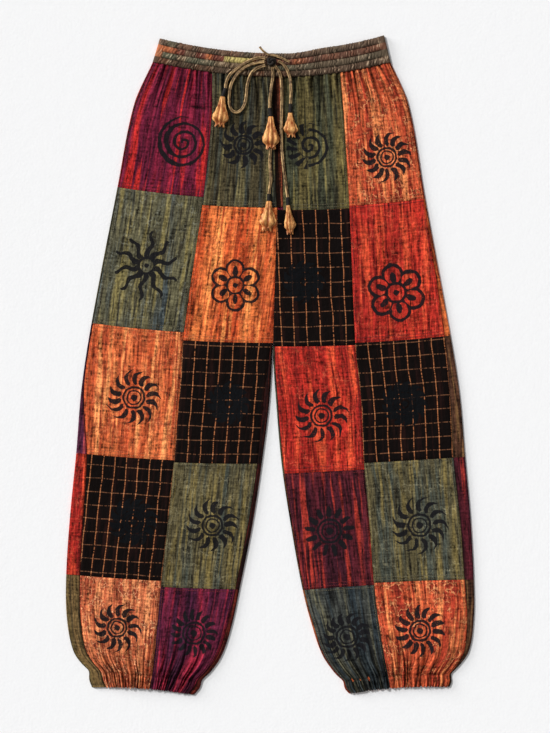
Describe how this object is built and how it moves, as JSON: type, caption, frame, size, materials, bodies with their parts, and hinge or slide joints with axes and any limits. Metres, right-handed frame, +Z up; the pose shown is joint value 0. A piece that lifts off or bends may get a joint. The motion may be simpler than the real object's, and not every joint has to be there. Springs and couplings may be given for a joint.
{
  "type": "drawstring trousers",
  "caption": "Patchwork cotton drawstring trousers laid flat, with an elastic waistband, gathered legs and tasselled cords.",
  "frame": {"origin": "on the ground, under the middle of the garment's outline", "axes": "+Z up from the ground, +Y towards the waist, +X towards the wearer's left"},
  "size_m": [0.6134, 0.9894, 0.0195],
  "materials": {
    "band_cloth": "matt woven cotton",
    "black_check": "matt woven cotton",
    "cord_cloth": "matt woven cotton",
    "magenta_stripe": "matt woven cotton",
    "maroon_stripe": "matt woven cotton",
    "olive_stripe": "matt woven cotton",
    "orange_batik": "matt woven cotton",
    "red_stripe": "matt woven cotton",
    "slate_stripe": "matt woven cotton",
    "tassel_cloth": "matt woven cotton"
  },
  "bodies": {
    "root": {"centre_strip": "band_cloth", "cord_centre": "cord_cloth", "cord_centre_low": "cord_cloth", "cord_left": "cord_cloth", "cord_left_inner": "cord_cloth", "cord_loop": "cord_cloth", "cord_right": "cord_cloth", "cord_tip": "cord_cloth", "knot": "cord_cloth", "left_back_inner_1": "magenta_stripe", "left_back_inner_2": "olive_stripe", "left_back_inner_3": "slate_stripe", "left_back_inner_4": "black_check", "left_back_inner_5": "orange_batik", "left_back_outer_1": "slate_stripe", "left_back_outer_2": "orange_batik", "left_back_outer_3": "band_cloth", "left_back_outer_4": "maroon_stripe", "left_back_outer_5": "olive_stripe", "left_front_inner_1": "olive_stripe", "left_front_inner_2": "black_check", "left_front_inner_3": "red_stripe", "left_front_inner_4": "maroon_stripe", "left_front_inner_5": "slate_stripe", "left_front_outer_1": "orange_batik", "left_front_outer_2": "red_stripe", "left_front_outer_3": "black_check", "left_front_outer_4": "olive_stripe", "left_front_outer_5": "orange_batik", "right_back_inner_1": "red_stripe", "right_back_inner_2": "black_check", "right_back_inner_3": "maroon_stripe", "right_back_inner_4": "maroon_stripe", "right_back_inner_5": "red_stripe", "right_back_outer_1": "olive_stripe", "right_back_outer_2": "orange_batik", "right_back_outer_3": "magenta_stripe", "right_back_outer_4": "red_stripe", "right_back_outer_5": "olive_stripe", "right_front_inner_1": "slate_stripe", "right_front_inner_2": "orange_batik", "right_front_inner_3": "black_check", "right_front_inner_4": "olive_stripe", "right_front_inner_5": "magenta_stripe", "right_front_outer_1": "magenta_stripe", "right_front_outer_2": "slate_stripe", "right_front_outer_3": "orange_batik", "right_front_outer_4": "black_check", "right_front_outer_5": "orange_batik", "tassel_centre": "tassel_cloth", "tassel_centre_low": "tassel_cloth", "tassel_left": "tassel_cloth", "tassel_left_low": "tassel_cloth", "tassel_right": "tassel_cloth", "waistband": "band_cloth"}
  },
  "joints": []
}
